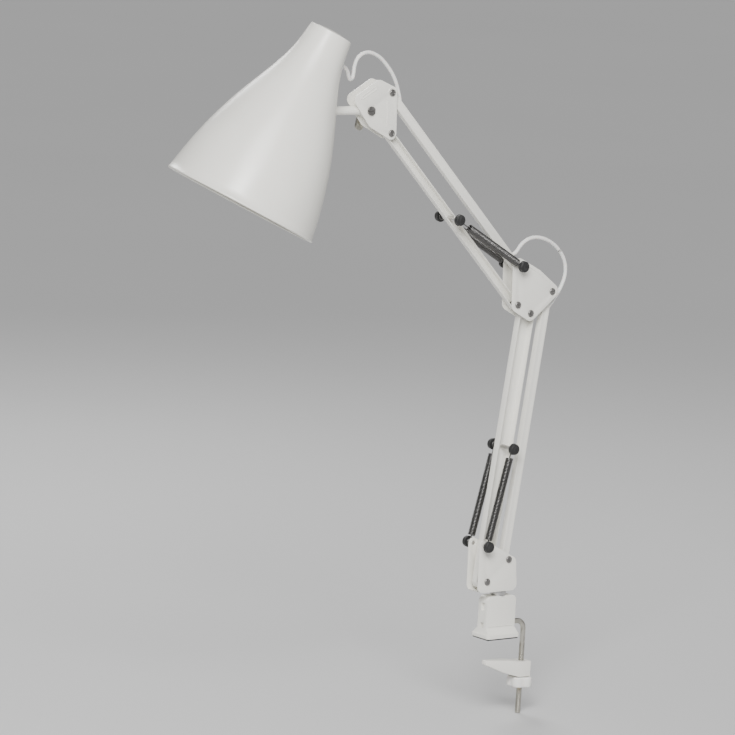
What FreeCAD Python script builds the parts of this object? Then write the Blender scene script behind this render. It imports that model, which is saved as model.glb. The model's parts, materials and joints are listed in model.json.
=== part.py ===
import FreeCAD, Part
import math
import os
import Sketcher
from FreeCAD import Placement, Rotation, Vector

# Swing arm desk lamp. Millimetres and degrees, +Z up, arms in the XZ plane, shade towards -X.
# The origin is the centre of the pad face that rests on the desk.

SIZES = {
    # clamp
    "flangeLength": 48, "flangeDepth": 32, "flangeThick": 4, "padThick": 2, "padInset": 2,
    "flangeCorner": 4, "skirtInset": 1.5, "skirtRise": 8, "sink": 1, "blockLength": 42, "blockDepth": 16,
    "blockTop": 50, "blockRound": 7,
    "slotWide": 6, "slotDeep": 3, "slotTall": 9, "lowSlotUp": 14.4, "highSlotUp": 37.4,
    "pinRadius": 6, "bushWall": 2, "bushDepth": 34, "collarRadius": 9, "washerThick": 1,
    "boltRadius": 3, "boltOffset": 41, "boltBend": 10, "boltHeight": 17, "boltDrop": 92, "boltGrip": 8,
    "jawTop": 26, "jawTall": 22, "jawTip": 14, "jawBack": 8, "jawDepth": 18, "jawTipTall": 5,
    "jawRampReach": 26, "jawRampRise": 6, "jawRecess": 4, "jawLipReach": 30, "jawLipDrop": 1.5,
    "jawTipHalf": 4.05, "jawSideShort": 4,
    "nutRadius": 16, "nutTall": 12, "nutLobes": 5, "notchRadius": 6.7, "notchOut": 18.9,
    "insertRadius": 5.5,
    # base
    "bracketFloor": 56, "sheetThick": 1.5, "baseWidth": 21, "baseMargin": 7,
    "basePivotLeft": -26, "basePivotHeight": 68.5, "linkAcross": 30, "linkUp": 24,
    "baseRight": 11, "baseLeft": -32, "springPostAcross": -34, "springPostUp": 111,
    "earAcross": 5, "earDown": 3, "earMargin": 6, "swivelNeck": 4, "rivetRadius": 5.5, "rivetTall": 1.2,
    # arms
    "lowerArm": 310, "lowerLean": 7.3, "upperArm": 280, "upperLean": -44.6,
    "wideBar": 21, "wideDepth": 8, "slimBar": 10, "slimDepth": 7, "barWall": 1, "barEnd": 9, "slimEnd": 7,
    "lowerPeg": 155, "upperPeg": 142,
    # elbow and head
    "elbowWidth": 18.5, "elbowMargin": 8.5, "elbowAcross": -19.5, "elbowUp": 10.5, "elbowCrown": 2.5,
    "upperLinkAcross": -2, "upperLinkUp": 45,
    "headWidth": 15, "headMargin": 7, "tiltAcross": -30.5, "tiltUp": 25.5,
    "eyeRadius": 9, "eyeThick": 11, "stemReach": 56, "stemRadius": 4.5, "stemFlare": 0.7,
    "spigotRadius": 4, "footRadius": 13, "footThick": 4, "footSeat": 2,
    # fasteners
    "screwRadius": 2.5, "screwHead": 4, "screwTop": 2.9, "screwHeadTall": 2, "nutAcross": 4.2,
    "nutThick": 3, "screwTail": 1.5, "tiltHead": 5, "tiltSlotWide": 1, "tiltSlotDeep": 1.1,
    "spacerRadius": 4.4, "wingReach": 24, "wingHub": 6, "wingThick": 3, "wingTall": 9, "wingUp": 3.2,
    "wingRoot": 2.2, "wingTip": 5,
    "footScrewRadius": 1.5, "footScrewHead": 3, "footScrewTop": 2.1, "footScrewTall": 1.4,
    "footScrewStep": 8, "footScrewReach": 8,
    # springs
    "pegRadius": 2.5, "pegTail": 2, "springRadius": 4.6, "springWire": 1.4, "hookShare": 0.8,
    "lowerSpringSide": 15.4, "upperSpringSide": 14, "capRadius": 6.6, "capThick": 5.4, "capWall": 1.6,
    # shade, measured along its axis from the neck end
    "shadeLength": 210, "neckRadius": 24.5, "mouthRadius": 87.5, "neckLength": 14, "neckFlare": 2,
    "neckPull": 55, "mouthPull": 115, "neckSlope": 7, "mouthSlope": 9, "shadeWall": 0.9,
    "rimRadius": 1.5, "rimDrop": 0.9,
    "shadeTilt": 24.4, "shadeTurn": 9.3, "footAlong": 76, "capDome": 3, "capSkirt": 6,
    "domeThick": 1.2, "grommetNeck": 3.5, "grommetInside": 3, "grommetSleeve": 4.2, "grommetTip": 3.1,
    "grommetAlong": 24, "grommetRadius": 4.5, "grommetReach": 7,
    "holderRadius": 19.5, "holderWall": 1.6, "holderTop": 9, "holderLength": 50, "holderHole": 5,
    "holderCap": 12, "holderRing": 3, "ringBelow": 4, "ringGap": 0.3,
    "threadRadius": 13.3, "threadWall": 0.6, "threadLength": 30, "threadInset": 4, "threadFlange": 2,
    "coreAbove": 2, "contactRadius": 6, "contactThick": 1, "contactTip": 3, "contactClear": 0.4,
    "nippleBore": 2.6, "nippleRadius": 4.6, "nippleBelow": 1.5,
    # cord and clearances
    "cordRadius": 2.1, "cordBeside": 1.4, "cordSeat": 0.2, "outletWide": 8.8, "outletDeep": 4.9,
    "outletTall": 14, "outletUp": 12, "outletAside": 0.5,
    "runFit": 0.05, "pressFit": 0.02, "openFit": 0.3, "faceGap": 0.1,
}

doc = FreeCAD.newDocument("swing_arm_lamp")
sheet = doc.addObject("Spreadsheet::Sheet", "Sizes")
for row, (alias, value) in enumerate(SIZES.items(), start=1):
    sheet.set(f"A{row}", alias)
    sheet.set(f"B{row}", str(value))
    sheet.setAlias(f"B{row}", alias)
doc.recompute()
nodes = []


def size(alias):
    return float(sheet.get(alias))


def keep(piece, label):
    piece.Label = label
    nodes.append(piece)
    return piece


# ---- small builders -------------------------------------------------------------------------

def bind(piece, **expressions):
    for name, expression in expressions.items():
        piece.setExpression(name, expression)
    return piece


def sized(expression):
    """Write size names as sheet references: plain words that are aliases get the sheet's name."""
    words = []
    for word in expression.replace("(", " ( ").replace(")", " ) ").split():
        words.append(f"Sizes.{word}" if word in SIZES else word)
    return " ".join(words)


def cylinder(radius, height, start, direction):
    piece = doc.addObject("Part::Cylinder", "Cylinder")
    bind(piece, Radius=sized(radius), Height=sized(height))
    piece.Placement = Placement(start, Rotation(Vector(0, 0, 1), direction))
    return piece


def cone(radiusFrom, radiusTo, height, start, direction):
    piece = doc.addObject("Part::Cone", "Cone")
    bind(piece, Radius1=sized(radiusFrom), Radius2=sized(radiusTo), Height=sized(height))
    piece.Placement = Placement(start, Rotation(Vector(0, 0, 1), direction))
    return piece


def box(length, width, height, corner):
    piece = doc.addObject("Part::Box", "Box")
    bind(piece, Length=sized(length), Width=sized(width), Height=sized(height))
    piece.Placement = Placement(corner, Rotation())
    return piece


def fuse(pieces):
    piece = doc.addObject("Part::MultiFuse", "Fusion")
    piece.Shapes = pieces
    return piece


def group(pieces):
    piece = doc.addObject("Part::Compound", "Group")
    piece.Links = pieces
    return piece


def cut(base, tools):
    piece = doc.addObject("Part::Cut", "Cut")
    piece.Base = base
    piece.Tool = tools[0] if len(tools) == 1 else fuse(tools)
    return piece


def tube(outer, inner, height, start, direction):
    return cut(cylinder(outer, height, start, direction), [cylinder(inner, height, start, direction)])


def fixed(shape):
    piece = doc.addObject("Part::Feature", "Made")
    piece.Shape = shape
    return piece


def plane(body, role):
    return next(feature for feature in body.Origin.OriginFeatures if feature.Role == role)


def newBody():
    return doc.addObject("PartDesign::Body", "Body")


def outlineSketch(body, role, offset, edges):
    sketch = body.newObject("Sketcher::SketchObject", "Outline")
    sketch.AttachmentSupport = (plane(body, role), "")
    sketch.MapMode = "FlatFace"
    sketch.AttachmentOffset = Placement(Vector(0, 0, offset), Rotation())
    for edge in edges:
        sketch.addGeometry(edge, False)
    return sketch


def holeSketch(body, role, centres, radius):
    sketch = outlineSketch(body, role, 0, [])
    for number, (across, up) in enumerate(centres):
        sketch.addGeometry(Part.Circle(Vector(across, up, 0), Vector(0, 0, 1), 1), False)
        sketch.addConstraint(Sketcher.Constraint("Radius", number, 1.0))
        sketch.renameConstraint(number, f"radius{number}")
        sketch.setExpression(f"Constraints.radius{number}", sized(radius))
    return sketch


def pad(body, sketch, length, midplane=False, reverse=False):
    feature = body.newObject("PartDesign::Pad", "Pad")
    feature.Profile = sketch
    feature.Midplane = midplane
    feature.Reversed = reverse
    feature.setExpression("Length", sized(length))
    doc.recompute()
    return feature


def pocket(body, sketch, length, midplane=False, reverse=False):
    before = body.Shape.Volume
    feature = body.newObject("PartDesign::Pocket", "Pocket")
    feature.Profile = sketch
    feature.Midplane = midplane
    feature.Reversed = reverse
    feature.setExpression("Length", sized(length))
    doc.recompute()
    if body.Shape.Volume >= before:
        raise RuntimeError(f"a pocket of {body.Label} cuts nothing")
    return feature


def rounded(centres):
    """Edges of the outline around circles (x, y, radius), listed anticlockwise."""
    edges = []
    count = len(centres)
    tangents = []
    for first, second in zip(centres, centres[1:] + centres[:1]):
        along = Vector(second[0] - first[0], second[1] - first[1], 0)
        lean = math.asin((first[2] - second[2]) / along.Length)
        heading = math.atan2(along.y, along.x) - math.pi / 2 + lean
        outward = Vector(math.cos(heading), math.sin(heading), 0)
        tangents.append((Vector(first[0], first[1], 0) + outward * first[2],
                         Vector(second[0], second[1], 0) + outward * second[2], outward))
    for number in range(count):
        leave = tangents[number]
        arrive = tangents[number - 1]
        centre = Vector(centres[number][0], centres[number][1], 0)
        first = math.atan2(arrive[2].y, arrive[2].x)
        last = math.atan2(leave[2].y, leave[2].x)
        if last < first:
            last += 2 * math.pi
        bisector = (first + last) / 2
        middle = centre + Vector(math.cos(bisector), math.sin(bisector), 0) * centres[number][2]
        edges.append(Part.Arc(arrive[1], middle, leave[0]))
        edges.append(Part.LineSegment(leave[0], leave[1]))
    return edges


def rectangle(left, right, low, high):
    corners = [Vector(left, low, 0), Vector(right, low, 0), Vector(right, high, 0), Vector(left, high, 0)]
    return [Part.LineSegment(a, b) for a, b in zip(corners, corners[1:] + corners[:1])]


def polygon(points):
    corners = [Vector(across, up, 0) for across, up in points]
    return [Part.LineSegment(a, b) for a, b in zip(corners, corners[1:] + corners[:1])]


# ---- places ---------------------------------------------------------------------------------

def lean(degrees):
    """Unit vector of an arm that leans from +Z towards +X."""
    return Vector(math.sin(math.radians(degrees)), 0, math.cos(math.radians(degrees)))


UP = Vector(0, 0, 1)
BACK = Vector(0, 1, 0)
baseLeft = Vector(size("basePivotLeft"), 0, size("basePivotHeight"))
baseRight = baseLeft + Vector(size("linkAcross"), 0, size("linkUp"))
springPost = Vector(size("springPostAcross"), 0, size("springPostUp"))
lowerWay = lean(size("lowerLean"))
elbowLow = baseLeft + lowerWay * size("lowerArm")
elbowRight = baseRight + lowerWay * size("lowerArm")
elbowLeft = elbowLow + Vector(size("elbowAcross"), 0, size("elbowUp"))
elbowTop = elbowLeft + Vector(size("upperLinkAcross"), 0, size("upperLinkUp"))
upperWay = lean(size("upperLean"))
headLow = elbowLeft + upperWay * size("upperArm")
headTop = elbowTop + upperWay * size("upperArm")
tilt = headLow + Vector(size("tiltAcross"), 0, size("tiltUp"))
lowerPeg = baseLeft + lowerWay * size("lowerPeg")
upperPeg = elbowLeft + upperWay * size("upperPeg")


# ---- clamp ----------------------------------------------------------------------------------

def makeClamp():
    body = newBody()
    halfFlange = size("flangeLength") / 2
    halfDepth = size("flangeDepth") / 2
    floor = size("padThick")
    corner = size("flangeCorner")
    centres = [(x, y, corner) for x, y in ((corner - halfFlange, corner - halfDepth),
                                           (halfFlange - corner, corner - halfDepth),
                                           (halfFlange - corner, halfDepth - corner),
                                           (corner - halfFlange, halfDepth - corner))]
    pad(body, outlineSketch(body, "XY_Plane", floor, rounded(centres)), "flangeThick")
    half = size("blockLength") / 2
    top = size("blockTop")
    turn = size("blockRound")
    low = floor + size("sink")
    diagonal = turn * math.sqrt(0.5)
    side = [
        Part.LineSegment(Vector(-half, low, 0), Vector(half, low, 0)),
        Part.LineSegment(Vector(half, low, 0), Vector(half, top - turn, 0)),
        Part.Arc(Vector(half, top - turn, 0), Vector(half - turn + diagonal, top - turn + diagonal, 0),
                 Vector(half - turn, top, 0)),
        Part.LineSegment(Vector(half - turn, top, 0), Vector(turn - half, top, 0)),
        Part.Arc(Vector(turn - half, top, 0), Vector(turn - half - diagonal, top - turn + diagonal, 0),
                 Vector(-half, top - turn, 0)),
        Part.LineSegment(Vector(-half, top - turn, 0), Vector(-half, low, 0)),
    ]
    pad(body, outlineSketch(body, "XZ_Plane", 0, side), "blockDepth", midplane=True)
    doc.recompute()
    skirt = body.newObject("PartDesign::AdditiveWedge", "Skirt")
    rise = size("skirtRise")
    base = floor + size("flangeThick") - size("sink")
    inset = size("skirtInset")
    skirt.Xmin = inset - halfFlange
    skirt.Xmax = halfFlange - inset
    skirt.Zmin = inset - halfDepth
    skirt.Zmax = halfDepth - inset
    skirt.Ymin = 0
    skirt.Ymax = rise
    skirt.X2min = -half
    skirt.X2max = half
    skirt.Z2min = -size("blockDepth") / 2
    skirt.Z2max = size("blockDepth") / 2
    skirt.Placement = Placement(Vector(0, 0, base), Rotation(Vector(1, 0, 0), 90))
    doc.recompute()
    bore = holeSketch(body, "XY_Plane", [(0, 0)], "pinRadius + bushWall")
    bore.AttachmentOffset = Placement(Vector(0, 0, top), Rotation())
    pocket(body, bore, "bushDepth")
    grip = holeSketch(body, "YZ_Plane", [(0, size("boltHeight"))], "boltRadius + pressFit")
    grip.AttachmentOffset = Placement(Vector(0, 0, half + size("sink")), Rotation())
    pocket(body, grip, "boltGrip + sink")
    for height in (size("lowSlotUp"), size("highSlotUp")):
        wide = size("slotWide") / 2
        tall = size("slotTall") / 2
        slot = outlineSketch(body, "YZ_Plane", -half, rectangle(-wide, wide, height - tall, height + tall))
        pocket(body, slot, "slotDeep", reverse=True)
    keep(body, "clamp_bracket")

    rest = box("flangeLength - 2 * padInset", "flangeDepth - 2 * padInset", "padThick",
               Vector(size("padInset") - halfFlange, size("padInset") - halfDepth, 0))
    keep(rest, "flange_pad")
    bush = tube("pinRadius + bushWall - pressFit", "pinRadius + runFit", "bushDepth",
                Vector(0, 0, top - size("bushDepth")), UP)
    keep(bush, "swivel_bush")
    washer = tube("collarRadius", "pinRadius + runFit", "washerThick", Vector(0, 0, top), UP)
    keep(washer, "thrust_washer")


def makeHookBolt():
    reach = size("boltOffset")
    bend = size("boltBend")
    high = size("boltHeight")
    start = Vector(size("blockLength") / 2 - size("boltGrip"), 0, high)
    corner = Vector(reach - bend, 0, high)
    low = Vector(reach, 0, high - bend)
    middle = Vector(reach - bend * (1 - math.sqrt(0.5)), 0, high - bend * (1 - math.sqrt(0.5)))
    path = Part.Wire([Part.LineSegment(start, corner).toShape(), Part.Arc(corner, middle, low).toShape(),
                      Part.LineSegment(low, Vector(reach, 0, -size("boltDrop"))).toShape()])
    circle = Part.Wire([Part.Circle(start, Vector(1, 0, 0), size("boltRadius")).toShape()])
    keep(fixed(path.makePipeShell([circle], True, False)), "hook_bolt")


def makeJaw():
    top = -size("jawTop")
    low = top - size("jawTall")
    back = size("boltOffset") + size("jawBack")
    tip = -size("jawTip")
    knee = size("boltOffset") - size("nutRadius") / 2
    recess = top - size("jawRecess")
    points = [(tip, top - size("jawTipTall")), (tip + size("jawRampReach"), low + size("jawRampRise")),
              (knee, low), (back, low), (back, recess), (knee, recess),
              (tip + size("jawLipReach"), top - size("jawLipDrop")), (tip, top)]
    body = newBody()
    pad(body, outlineSketch(body, "XZ_Plane", 0, polygon(points)), "jawDepth", midplane=True)
    hole = holeSketch(body, "XY_Plane", [(size("boltOffset"), 0)], "boltRadius + openFit")
    pocket(body, hole, "jawTop + jawTall + sink")
    half = size("jawDepth") / 2
    beyond = half + size("sink")
    sideEnd = knee - size("jawSideShort")
    for sign in (-1, 1):
        side = polygon([(tip - size("sink"), sign * beyond), (tip - size("sink"), sign * size("jawTipHalf")),
                        (sideEnd, sign * half), (sideEnd, sign * beyond)])
        pocket(body, outlineSketch(body, "XY_Plane", 0, side), "jawTop + jawTall + sink")
    keep(body, "clamp_jaw")


def makeClampNut():
    body = newBody()
    reach = size("boltOffset")
    top = -size("jawTop") - size("jawTall") - size("openFit")
    radius = size("nutRadius")
    disc = outlineSketch(body, "XY_Plane", top, [Part.Circle(Vector(reach, 0, 0), UP, radius)])
    pad(body, disc, "nutTall", reverse=True)
    lobes = int(size("nutLobes"))
    out = size("notchOut")
    for lobe in range(lobes):
        angle = 2 * math.pi * lobe / lobes
        centre = Vector(reach + out * math.cos(angle), out * math.sin(angle), 0)
        notch = Part.Circle(centre, UP, size("notchRadius"))
        pocket(body, outlineSketch(body, "XY_Plane", top + size("sink"), [notch]), "nutTall + 2 * sink")
    bore = holeSketch(body, "XY_Plane", [(reach, 0)], "insertRadius + pressFit")
    bore.AttachmentOffset = Placement(Vector(0, 0, top + size("sink")), Rotation())
    pocket(body, bore, "nutTall + 2 * sink")
    keep(body, "clamp_nut")
    under = Vector(reach, 0, top - size("nutTall"))
    insert = tube("insertRadius", "boltRadius + runFit", "nutTall", under, UP)
    keep(insert, "nut_insert")


# ---- pivots ---------------------------------------------------------------------------------

def pivotScrew(place, width):
    """A domed screw along +Y, with its head on the front face of a bracket."""
    half = size(width) / 2
    head = cone("screwTop", "screwHead", "screwHeadTall",
                place - BACK * (half + size("screwHeadTall")), BACK)
    shank = cylinder("screwRadius", f"{width} + nutThick + screwTail", place - BACK * half, BACK)
    return fuse([head, shank])


def pivotNut(place, width):
    nut = doc.addObject("Part::Prism", "Hexagon")
    nut.Polygon = 6
    bind(nut, Circumradius=sized("nutAcross"), Height=sized("nutThick"))
    start = place + BACK * (size(width) / 2)
    nut.Placement = Placement(start, Rotation(UP, BACK))
    return cut(nut, [cylinder("screwRadius + pressFit", "nutThick", start, BACK)])


def spacers(place, width, sheetName, front, back):
    """Two sleeves that hold a bar between the plates; front and back are the bar's faces."""
    inner = size(width) / 2 - size(sheetName)
    gap = size("faceGap")
    pieces = []
    for side, face in ((-1, front), (1, back)):
        length = inner - abs(face) - gap
        start = place + BACK * (side * inner)
        outer = doc.addObject("Part::Cylinder", "Sleeve")
        bore = doc.addObject("Part::Cylinder", "SleeveBore")
        for cylinderPiece, radius in ((outer, "spacerRadius"), (bore, "screwRadius + pressFit")):
            cylinderPiece.setExpression("Radius", sized(radius))
            cylinderPiece.Height = length
            cylinderPiece.Placement = Placement(start, Rotation(UP, BACK * -side))
        pieces.append(cut(outer, [bore]))
    return pieces


def stackPivots(places, width, name):
    keep(group([pivotScrew(place, width) for place in places]), f"{name}_pivot_screws")
    keep(group([pivotNut(place, width) for place in places]), f"{name}_pivot_nuts")


# ---- brackets -------------------------------------------------------------------------------

def makeBaseBracket():
    floor = size("bracketFloor")
    margin = size("baseMargin")
    half = size("baseWidth") / 2
    low = floor + margin
    centres = [(size("baseLeft"), low, margin), (size("baseRight"), low, margin),
               (baseRight.x + size("earAcross"), baseRight.z - size("earDown"), size("earMargin")),
               (springPost.x, springPost.z, size("earMargin"))]
    body = newBody()
    pad(body, outlineSketch(body, "XZ_Plane", 0, rounded(centres)), "baseWidth", midplane=True)
    reach = abs(springPost.x) + 2 * margin
    inside = rectangle(-reach, reach, floor + size("sheetThick"), springPost.z + 2 * margin)
    gap = outlineSketch(body, "XZ_Plane", 0, inside)
    pocket(body, gap, "baseWidth - 2 * sheetThick", midplane=True)
    pocket(body, holeSketch(body, "XZ_Plane", [(baseLeft.x, baseLeft.z), (baseRight.x, baseRight.z)],
                            "screwRadius + pressFit"), "baseWidth + 2 * sink", midplane=True)
    pocket(body, holeSketch(body, "XZ_Plane", [(springPost.x, springPost.z)], "pegRadius + pressFit"),
           "baseWidth + 2 * sink", midplane=True)
    spigot = holeSketch(body, "XY_Plane", [(0, 0)], "swivelNeck + pressFit")
    spigot.AttachmentOffset = Placement(Vector(0, 0, floor + size("sheetThick") + size("sink")), Rotation())
    pocket(body, spigot, "sheetThick + 2 * sink")
    keep(body, "base_bracket")

    washerTop = size("blockTop") + size("washerThick") + size("faceGap")
    shaft = cylinder("pinRadius", "bushDepth + washerThick", Vector(0, 0, washerTop - size("bushDepth")), UP)
    collar = cylinder("collarRadius", f"{floor - washerTop}", Vector(0, 0, washerTop), UP)
    neck = cylinder("swivelNeck", "sheetThick + 2 * sink", Vector(0, 0, floor - size("sink")), UP)
    rivet = cylinder("rivetRadius", "rivetTall", Vector(0, 0, floor + size("sheetThick")), UP)
    keep(fuse([shaft, collar, neck, rivet]), "swivel_pin")
    stackPivots([baseLeft, baseRight], "baseWidth", "base")
    wideHalf = size("wideDepth") / 2
    slimHalf = size("slimDepth") / 2
    sleeves = spacers(baseLeft, "baseWidth", "sheetThick", size("barWall") - wideHalf, wideHalf)
    sleeves = sleeves[1:] + frontSleeve(baseLeft, "baseWidth")
    keep(group(sleeves + spacers(baseRight, "baseWidth", "sheetThick", slimHalf, slimHalf)), "base_spacers")
    inner = half - size("sheetThick")
    posts = []
    for side in (-1, 1):
        length = f"lowerSpringSide + springWire + pegTail - {inner}"
        posts.append(cylinder("pegRadius", length, springPost + BACK * (side * inner), BACK * side))
    keep(group(posts), "base_spring_posts")
    keep(group(capPair(springPost, size("lowerSpringSide"))), "base_spring_caps")


def frontSleeve(place, width):
    """The sleeve inside an open front channel runs from the front plate to the web."""
    inner = size(width) / 2 - size("sheetThick")
    web = size("wideDepth") / 2 - size("barWall")
    length = f"{inner + web} - faceGap"
    return [tube("spacerRadius", "screwRadius + pressFit", length, place - BACK * inner, BACK)]


def capPair(place, side):
    """Rubber caps on both ends of a spring peg."""
    caps = []
    for sign in (-1, 1):
        start = place + BACK * (sign * (side + size("springWire") + size("faceGap")))
        body = cylinder("capRadius", "capThick", start, BACK * sign)
        hole = cylinder("pegRadius + pressFit", "capThick - capWall", start, BACK * sign)
        caps.append(cut(body, [hole]))
    return caps


def springPin(place, side):
    """A pin across the lamp that carries the eye of a spring at each end."""
    start = place - BACK * (size(side) + size("springWire") + size("pegTail"))
    return cylinder("pegRadius", f"2 * ( {side} + springWire + pegTail )", start, BACK)


def platePair(outline, width, holes, name):
    outer = size(width) / 2
    for label, offset in (("front", outer), ("rear", -outer + size("sheetThick"))):
        body = newBody()
        pad(body, outlineSketch(body, "XZ_Plane", offset, rounded(outline)), "sheetThick", reverse=True)
        centres = [(place.x, place.z) for place in holes]
        drill = holeSketch(body, "XZ_Plane", centres, "screwRadius + pressFit")
        pocket(body, drill, f"{width} + 2 * sink", midplane=True)
        keep(body, f"{name}_plate_{label}")


def makeElbow():
    margin = size("elbowMargin")
    across = (elbowRight - elbowTop).normalize()
    crown = (elbowTop + elbowRight) * 0.5 + Vector(-across.z, 0, across.x) * size("elbowCrown")
    ring = [elbowLow, elbowRight, crown, elbowTop, elbowLeft]
    holes = [elbowLow, elbowRight, elbowTop, elbowLeft]
    platePair([(place.x, place.z, margin) for place in ring], "elbowWidth", holes, "elbow")
    places = [elbowLow, elbowRight, elbowLeft]
    stackPivots(places, "elbowWidth", "elbow")
    side = size("upperSpringSide")
    keep(springPin(elbowTop, "upperSpringSide"), "elbow_long_pin")
    keep(group(capPair(elbowTop, side)), "elbow_spring_caps")
    half = size("slimDepth") / 2
    sleeves = spacers(elbowLow, "elbowWidth", "sheetThick", 0, size("wideDepth") / 2)[1:]
    sleeves += frontSleeve(elbowLow, "elbowWidth")
    sleeves += spacers(elbowRight, "elbowWidth", "sheetThick", half, half)
    sleeves += spacers(elbowTop, "elbowWidth", "sheetThick", half, half)
    sleeves += spacers(elbowLeft, "elbowWidth", "sheetThick", half, half)
    keep(group(sleeves), "elbow_spacers")


def makeHead():
    margin = size("headMargin")
    around = [headLow, headTop]
    around += [tilt + Vector(across, 0, up) for across, up in ((10, 27), (-16, 12), (4, -12))]
    centres = [(place.x, place.z, margin) for place in around]
    platePair(centres, "headWidth", [headLow, headTop, tilt], "head")
    stackPivots([headLow, headTop], "headWidth", "head")
    half = size("slimDepth") / 2
    sleeves = spacers(headLow, "headWidth", "sheetThick", half, half)
    sleeves += spacers(headTop, "headWidth", "sheetThick", half, half)
    keep(group(sleeves), "head_spacers")
    outer = size("headWidth") / 2
    face = outer + size("screwHeadTall")
    reach = size("tiltHead") + size("sink")
    head = cylinder("tiltHead", "screwHeadTall", tilt - BACK * face, BACK)
    slot = box("2 * ( tiltHead + sink )", "tiltSlotDeep + sink", "tiltSlotWide",
               tilt + Vector(-reach, -face - size("sink"), -size("tiltSlotWide") / 2))
    shank = cylinder("screwRadius", "headWidth + wingTall + nutThick", tilt - BACK * outer, BACK)
    keep(fuse([cut(head, [slot]), shank]), "tilt_bolt")
    inner = outer - size("sheetThick")
    rings = []
    for side in (-1, 1):
        length = f"{inner} - eyeThick / 2 - faceGap"
        rings.append(tube("eyeRadius - sink", "screwRadius + pressFit", length,
                          tilt + BACK * (side * inner), BACK * -side))
    keep(group(rings), "tilt_washers")


def makeWingNut():
    start = tilt + BACK * (size("headWidth") / 2 + size("faceGap"))
    hub = cylinder("wingHub", "wingTall", start, BACK)
    wings = []
    root = size("wingRoot")
    tip = size("wingTip")
    offset = -(start.y + size("wingUp"))
    for sign in (-1, 1):
        centres = [(tilt.x, tilt.z + sign * (size("wingHub") - root), root),
                   (tilt.x, tilt.z + sign * (size("wingReach") - tip), tip)]
        body = newBody()
        pad(body, outlineSketch(body, "XZ_Plane", offset, rounded(centres)), "wingThick", reverse=True)
        wings.append(body)
    solid = fuse([hub] + wings)
    keep(cut(solid, [cylinder("screwRadius + runFit", "wingTall", start, BACK)]), "wing_nut")


# ---- arms -----------------------------------------------------------------------------------

def channelBar(label, pivot, way, arm, width, depth, end, side, pegAt=None, fit="runFit"):
    """A pressed channel; side is front, or edge when it opens away from its partner bar."""
    length = size(arm)
    half = size(width) / 2
    ending = size(end)
    wall = size("barWall")
    beyond = size("sink")
    turn = min(half, ending)
    reach = half - turn
    centres = [(-reach, turn - ending, turn), (reach, turn - ending, turn),
               (reach, length + ending - turn, turn), (-reach, length + ending - turn, turn)]
    if half <= ending:
        centres = [(0, turn - ending, turn), (0, length + ending - turn, turn)]
    body = newBody()
    pad(body, outlineSketch(body, "XZ_Plane", 0, rounded(centres)), depth, midplane=True)
    if side == "front":
        inside = [(x, z, radius - wall) for x, z, radius in centres]
        sketch = outlineSketch(body, "XZ_Plane", size(depth) / 2, rounded(inside))
        pocket(body, sketch, f"{depth} - barWall")
    else:
        sketch = outlineSketch(body, "XZ_Plane", 0,
                               rectangle(wall - half, half + beyond, -ending - beyond,
                                         length + ending + beyond))
        pocket(body, sketch, f"{depth} - 2 * barWall", midplane=True)
    drills = [(0, f"screwRadius + {fit}"), (length, f"screwRadius + {fit}")]
    if pegAt:
        drills.append((size(pegAt), "pegRadius + pressFit"))
    for along, radius in drills:
        pocket(body, holeSketch(body, "XZ_Plane", [(0, along)], radius), f"{depth} + 2 * sink", midplane=True)
    body.Placement = Placement(pivot, Rotation(UP, way))
    keep(body, label)


def springPeg(place, side, name):
    keep(springPin(place, side), f"{name}_peg")
    keep(group(capPair(place, size(side))), f"{name}_peg_caps")


def springEye(reach):
    """A round eye about the origin, with the wire that leads from it along Z."""
    wire = size("springWire") / 2
    eye = size("pegRadius") + size("openFit") + wire
    ring = Part.makeTorus(eye, wire, Vector(0, 0, 0), BACK)
    return ring.fuse(Part.makeCylinder(wire, reach - eye + wire / 2, Vector(0, 0, eye - wire / 2)))


def springCoil(length):
    """A close coil as a tube along Z, with its near end closed and its eye about the origin."""
    wall = size("springWire")
    lead = size("capRadius") + wall
    body = Part.makeCylinder(size("springRadius"), length - 2 * lead, Vector(0, 0, lead))
    hollow = Part.makeCylinder(size("springRadius") - wall, length, Vector(0, 0, lead + 2 * wall))
    return body.fuse(springEye(lead + wall)).cut(hollow)


def springHook(length):
    """The far eye, whose wire lies inside the coil and draws out of it as the arm moves."""
    return springEye(length * size("hookShare"))


def springPair(shape, start, finish, side, name):
    """The same spring piece at the front and at the rear, along the line from start to finish."""
    pair = []
    for sign in (-1, 1):
        piece = shape.copy()
        piece.Placement = Placement(start + BACK * size(side) * sign, Rotation(UP, finish - start))
        pair.append(piece)
    keep(fixed(Part.makeCompound(pair)), name)


def makeSprings():
    for name, start, finish, side in (("lower", springPost, lowerPeg, "lowerSpringSide"),
                                      ("upper", elbowTop, upperPeg, "upperSpringSide")):
        length = (finish - start).Length
        springPair(springCoil(length), start, finish, side, f"{name}_springs")
        springPair(springHook(length), finish, start, side, f"{name}_spring_hooks")


def makeArms():
    channelBar("lower_wide_bar", baseLeft, lowerWay, "lowerArm", "wideBar", "wideDepth", "barEnd",
               "front", "lowerPeg", "openFit")
    channelBar("lower_cord_bar", baseRight, lowerWay, "lowerArm", "slimBar", "slimDepth", "slimEnd", "edge")
    channelBar("upper_plain_bar", elbowLeft, upperWay, "upperArm", "slimBar", "slimDepth", "slimEnd",
               "front", "upperPeg", "openFit")
    channelBar("upper_cord_bar", elbowTop, upperWay, "upperArm", "slimBar", "slimDepth", "slimEnd", "edge")
    springPeg(lowerPeg, "lowerSpringSide", "lower")
    springPeg(upperPeg, "upperSpringSide", "upper")
    makeSprings()


# ---- shade ----------------------------------------------------------------------------------

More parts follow.
